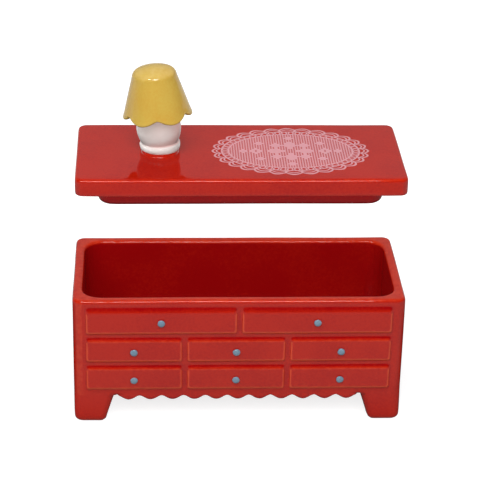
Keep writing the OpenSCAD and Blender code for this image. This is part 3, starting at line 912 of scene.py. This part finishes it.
def laceTransfer():
    material, tree, shader = newMaterial("laceTransfer")
    shader.inputs["IOR"].default_value = glaze["ior"]
    place = tree.nodes.new("ShaderNodeTexCoord").outputs["Object"]
    centred = tree.nodes.new("ShaderNodeMapping")
    centred.vector_type = "POINT"
    centred.inputs["Location"].default_value = (-laceMiddle.x, -laceMiddle.y, 0)
    centred.inputs["Scale"].default_value = (1 / mm, 1 / mm, 1 / mm)
    tree.links.new(place, centred.inputs["Vector"])
    split = tree.nodes.new("ShaderNodeSeparateXYZ")
    tree.links.new(centred.outputs["Vector"], split.inputs[0])
    x, y = split.outputs[0], split.outputs[1]
    a, b = laceHalf
    net = lace["net"]

    def times(p, q):
        return calc(tree, "MULTIPLY", p, q)

    def less(p, q):
        return calc(tree, "SUBTRACT", p, q)

    def length(p, q):
        return calc(tree, "SQRT", calc(tree, "ADD", times(p, p), times(q, q)))

    def apart(p, q):
        return calc(tree, "ABSOLUTE", less(p, q))

    def near(value, goal, width):
        # 1 on a thread of that width, soft at its sides
        return less(1.0, ramp(tree, apart(value, goal), 0.35 * width, 0.65 * width))

    def either(*masks):
        whole = masks[0]
        for mask in masks[1:]:
            whole = calc(tree, "MAXIMUM", whole, mask)
        return whole

    # distance in from the oval, and the angle round it
    oval = length(times(x, 1 / a), times(y, 1 / b))
    slope = calc(tree, "DIVIDE", length(times(x, 1 / a ** 2), times(y, 1 / b ** 2)), oval)
    inward = calc(tree, "DIVIDE", less(1.0, oval), slope)
    angle = calc(tree, "ARCTAN2", times(y, 1 / b), times(x, 1 / a))
    lobes = times(angle, lace["scallops"] / 2)
    hollow = less(1.0, calc(tree, "ABSOLUTE", calc(tree, "COSINE", lobes)))
    fromEdge = less(inward, times(hollow, lace["notch"]))
    cords = [near(fromEdge, *cord) for cord in lace["cords"]]
    chains = [near(inward, *chain) for chain in lace["chains"]]

    def along(repeats):
        # distance along the edge from the middle of a repeat
        part = calc(tree, "FRACT", times(lobes, repeats / math.pi))
        return times(less(part, 0.5), lace["pitch"] / repeats)

    # a bead at the foot of every scallop, and a row of rings between two chains
    beadIn, solid, gone = lace["beads"]
    beads = less(1.0, ramp(tree, length(along(1), less(inward, beadIn)), solid, gone))
    rings = near(length(along(2), less(inward, lace["loops"])), *lace["loopRing"])
    trim = either(*cords, *chains, beads, rings)
    # net of upright and level threads, close enough to read as a tint
    ground = calc(tree, "GREATER_THAN", inward, lace["border"])
    threads = [near(calc(tree, "PINGPONG", v, net / 2), 0.0, width * net)
               for v, width in zip((x, y), lace["threads"])]
    # diamonds worked in the net's own squares, mirrored about both axes
    squares = [calc(tree, "FLOOR", times(calc(tree, "ABSOLUTE", v), 1 / net)) for v in (x, y)]
    squareX, squareY = [times(calc(tree, "ADD", square, 0.5), net) for square in squares]

    def diamond(cx, cy, rx, ry):
        across = times(apart(squareY, cy), 1 / ry)
        return calc(tree, "LESS_THAN", calc(tree, "MULTIPLY_ADD", apart(squareX, cx), 1 / rx, across), 1.0)

    sprig = either(*[diamond(*spot) for spot in lace["diamonds"]])
    sprig = times(sprig, less(1.0, either(*[diamond(*spot) for spot in lace["openings"]])))
    mask = either(times(ground, either(sprig, *threads)), times(trim, less(1.0, ground)))
    # the film's underside isn't seen through it
    mask = times(mask, less(1.0, tree.nodes.new("ShaderNodeNewGeometry").outputs["Backfacing"]))
    worn = speckle(tree, place, lace["wornScale"])
    tint = blendColour(tree, worn, (*lace["colour"], 1), (*lace["wornColour"], 1))
    tree.links.new(tint, shader.inputs["Base Color"])
    leastCover, moreCover = lace["cover"]
    cover = calc(tree, "MULTIPLY_ADD", worn, moreCover, leastCover)
    tree.links.new(times(mask, cover), shader.inputs["Alpha"])
    leastRough, moreRough = lace["rough"]
    tree.links.new(calc(tree, "MULTIPLY_ADD", worn, moreRough, leastRough), shader.inputs["Roughness"])
    return material


def buildLace():
    bm = bmesh.new()
    count = lace["scallops"] * lace["steps"]
    made = bmesh.ops.create_circle(bm, cap_ends=True, segments=count, radius=1)
    for v in made["verts"]:
        angle = math.atan2(v.co.y, v.co.x)
        notch = lace["notch"] * (1 - abs(math.cos(lace["scallops"] * angle / 2)))
        v.co.x = laceMiddle.x + (laceHalf[0] - notch) * math.cos(angle)
        v.co.y = laceMiddle.y + (laceHalf[1] - notch) * math.sin(angle)
        v.co.z = lidHi.z + level
    margin = lace["margin"]
    cut(bm, "x", spread([laceLo.x + margin, laceHi.x - margin], lid["cell"]))
    cut(bm, "y", spread([laceLo.y + margin, laceHi.y - margin], lid["cell"]))
    handMade(bm, lidLo, lidHi, lid)  # it lies on the lid as that was cast
    made = bmesh.ops.extrude_face_region(bm, geom=bm.faces[:])
    bmesh.ops.translate(bm, vec=(0, 0, lace["film"]),
                        verts=[g for g in made["geom"] if isinstance(g, bmesh.types.BMVert)])
    for e in bm.edges:
        e.smooth = abs(e.calc_face_angle(0)) < 0.5  # the film's rim stays sharp
    return finishPiece("laceMat", bm, laceTransfer(), "cover", ["lace_doily"], 0)


laceMat = buildLace()
laceMat.visible_shadow = False


# Floor, light and camera

studio = dict(
    floorColour=(0.35, 0.35, 0.35),
    floorLift=0.79,             # added for the eye, so that the open floor is white
    fade=(0.1, 0.2),            # the floor turns all white between these distances from the middle
    shadowEnd=(0.005, 0.045),   # and between these in front of it
    # the floor as glossy faces see it in front, far behind and at the sides, and where each sets in
    frontGleam=0.52,
    frontReach=(0.0, 0.075),
    frontLoss=0.23,             # share that it loses again further in front
    lossReach=(0.18, 0.28),
    farGleam=0.85,
    farReach=(0.16, 0.26),
    sideGleam=0.45,
    sideReach=(0.12, 0.24),
    fill=0.45,                  # even light from all round
    backdrop=0.31,              # what glossy faces see behind the box
    backdropReach=(0.1, 0.75),
    front=0.03,                 # and in front of it, above the floor
    aim=0.08,                   # height that the lights point at
)
# name, shape, size, azimuth, elevation, distance, power, and whether it only makes highlights
lights = (
    ("key", "RECTANGLE", (0.9, 0.9), -34, 55, 1.3, 9.0, False),
    ("front", "RECTANGLE", (0.6, 0.6), 6, 43, 1.1, 6.5, False),
    ("panel", "RECTANGLE", (0.4, 0.22), -3, 45, 0.9, 4.2, True),
    ("dot", "DISK", (0.14, 0.14), -40, 45, 0.9, 2.2, True),
)
view = dict(
    azimuth=-3.17,
    elevation=26.04,
    roll=1.23,
    distance=0.86,
    lens=140.8,
    sensor=36,
    clip=(0.05, 100),
    target=(0.0012, 0.001, 0.0775),
)


def outward(azimuth, elevation):
    a, e = math.radians(azimuth), math.radians(elevation)
    return Vector((math.sin(a) * math.cos(e), -math.cos(a) * math.cos(e), math.sin(e)))


def buildFloor():
    bm = bmesh.new()
    bmesh.ops.create_grid(bm, x_segments=1, y_segments=1, size=20)
    mesh = bpy.data.meshes.new("floor")
    bm.to_mesh(mesh)
    bm.free()
    floor = bpy.data.objects.new("floor", mesh)
    bpy.context.scene.collection.objects.link(floor)
    material, tree, shader = newMaterial("paleFloor")
    shader.inputs["Roughness"].default_value = 0.9
    shader.inputs["Specular IOR Level"].default_value = 0
    shader.inputs["Emission Color"].default_value = (1, 1, 1, 1)
    rays = tree.nodes.new("ShaderNodeLightPath")
    glossy = rays.outputs["Is Glossy Ray"]
    place = tree.nodes.new("ShaderNodeTexCoord").outputs["Object"]
    split = tree.nodes.new("ShaderNodeSeparateXYZ")
    tree.links.new(place, split.inputs[0])
    away = tree.nodes.new("ShaderNodeVectorMath")
    away.operation = "LENGTH"
    tree.links.new(place, away.inputs[0])
    ahead = calc(tree, "MULTIPLY", split.outputs["Y"], -1.0)
    # the shadow shows behind the front edge only
    far = ramp(tree, away.outputs["Value"], *studio["fade"])
    far = calc(tree, "MAXIMUM", far, ramp(tree, ahead, *studio["shadowEnd"]))
    lift = calc(tree, "MULTIPLY_ADD", far, 1 - studio["floorLift"], studio["floorLift"])
    seen = calc(tree, "MULTIPLY", rays.outputs["Is Camera Ray"], lift)
    near = calc(tree, "MULTIPLY", ramp(tree, ahead, *studio["frontReach"]), studio["frontGleam"])
    kept = calc(tree, "MULTIPLY_ADD", ramp(tree, ahead, *studio["lossReach"]), -studio["frontLoss"], 1.0)
    near = calc(tree, "MULTIPLY", near, kept)
    behind = ramp(tree, split.outputs["Y"], *studio["farReach"])
    gleam = calc(tree, "MULTIPLY_ADD", behind, studio["farGleam"], near)
    beside = ramp(tree, calc(tree, "ABSOLUTE", split.outputs["X"]), *studio["sideReach"])
    gleam = calc(tree, "MAXIMUM", gleam, calc(tree, "MULTIPLY", beside, studio["sideGleam"]))
    tree.links.new(calc(tree, "MULTIPLY_ADD", glossy, gleam, seen), shader.inputs["Emission Strength"])
    colour = blendColour(tree, glossy, (*studio["floorColour"], 1), (0.0, 0.0, 0.0, 1))
    tree.links.new(colour, shader.inputs["Base Color"])
    mesh.materials.append(material)


def buildWorld():
    world = bpy.data.worlds.new("studio")
    bpy.context.scene.world = world
    world.use_nodes = True
    tree = world.node_tree
    sky = tree.nodes["Background"]
    rays = tree.nodes.new("ShaderNodeLightPath")
    split = tree.nodes.new("ShaderNodeSeparateXYZ")
    tree.links.new(tree.nodes.new("ShaderNodeTexCoord").outputs["Generated"], split.inputs[0])
    behind = ramp(tree, split.outputs["Y"], *studio["backdropReach"])
    mirrored = calc(tree, "MULTIPLY_ADD", behind, studio["backdrop"] - studio["front"], studio["front"])
    change = calc(tree, "SUBTRACT", mirrored, studio["fill"])
    strength = calc(tree, "MULTIPLY_ADD", change, rays.outputs["Is Glossy Ray"], studio["fill"])
    strength = calc(tree, "MAXIMUM", strength, rays.outputs["Is Camera Ray"])
    tree.links.new(strength, sky.inputs["Strength"])
    sky.inputs["Color"].default_value = (1, 1, 1, 1)


def addLight(name, shape, size, azimuth, elevation, distance, power, mirrored):
    light = bpy.data.lights.new(name, "AREA")
    light.shape = shape
    light.size, light.size_y = size
    light.energy = power
    stand = bpy.data.objects.new(name, light)
    bpy.context.scene.collection.objects.link(stand)
    away = outward(azimuth, elevation)
    stand.location = Vector((0, 0, studio["aim"])) + away * distance
    stand.rotation_mode = "QUATERNION"
    stand.rotation_quaternion = away.to_track_quat("Z", "Y")
    stand.visible_camera = False
    stand.visible_glossy = mirrored
    stand.visible_diffuse = not mirrored  # the mirrored lights only make the highlights


def buildCamera():
    a, r = math.radians(view["azimuth"]), math.radians(view["roll"])
    back = outward(view["azimuth"], view["elevation"])
    right = Vector((math.cos(a), math.sin(a), 0))
    up = back.cross(right)
    right, up = right * math.cos(r) + up * math.sin(r), up * math.cos(r) - right * math.sin(r)
    data = bpy.data.cameras.new("camera")
    data.lens = view["lens"]
    data.sensor_width = view["sensor"]
    data.clip_start, data.clip_end = view["clip"]
    camera = bpy.data.objects.new("camera", data)
    bpy.context.scene.collection.objects.link(camera)
    axes = Matrix((right, up, back)).transposed().to_4x4()
    camera.matrix_world = Matrix.Translation(Vector(view["target"]) + back * view["distance"]) @ axes
    bpy.context.scene.camera = camera


buildFloor()
buildWorld()
for row in lights:
    addLight(*row)
buildCamera()
bpy.context.scene.view_settings.view_transform = "Standard"
print("studio ready")
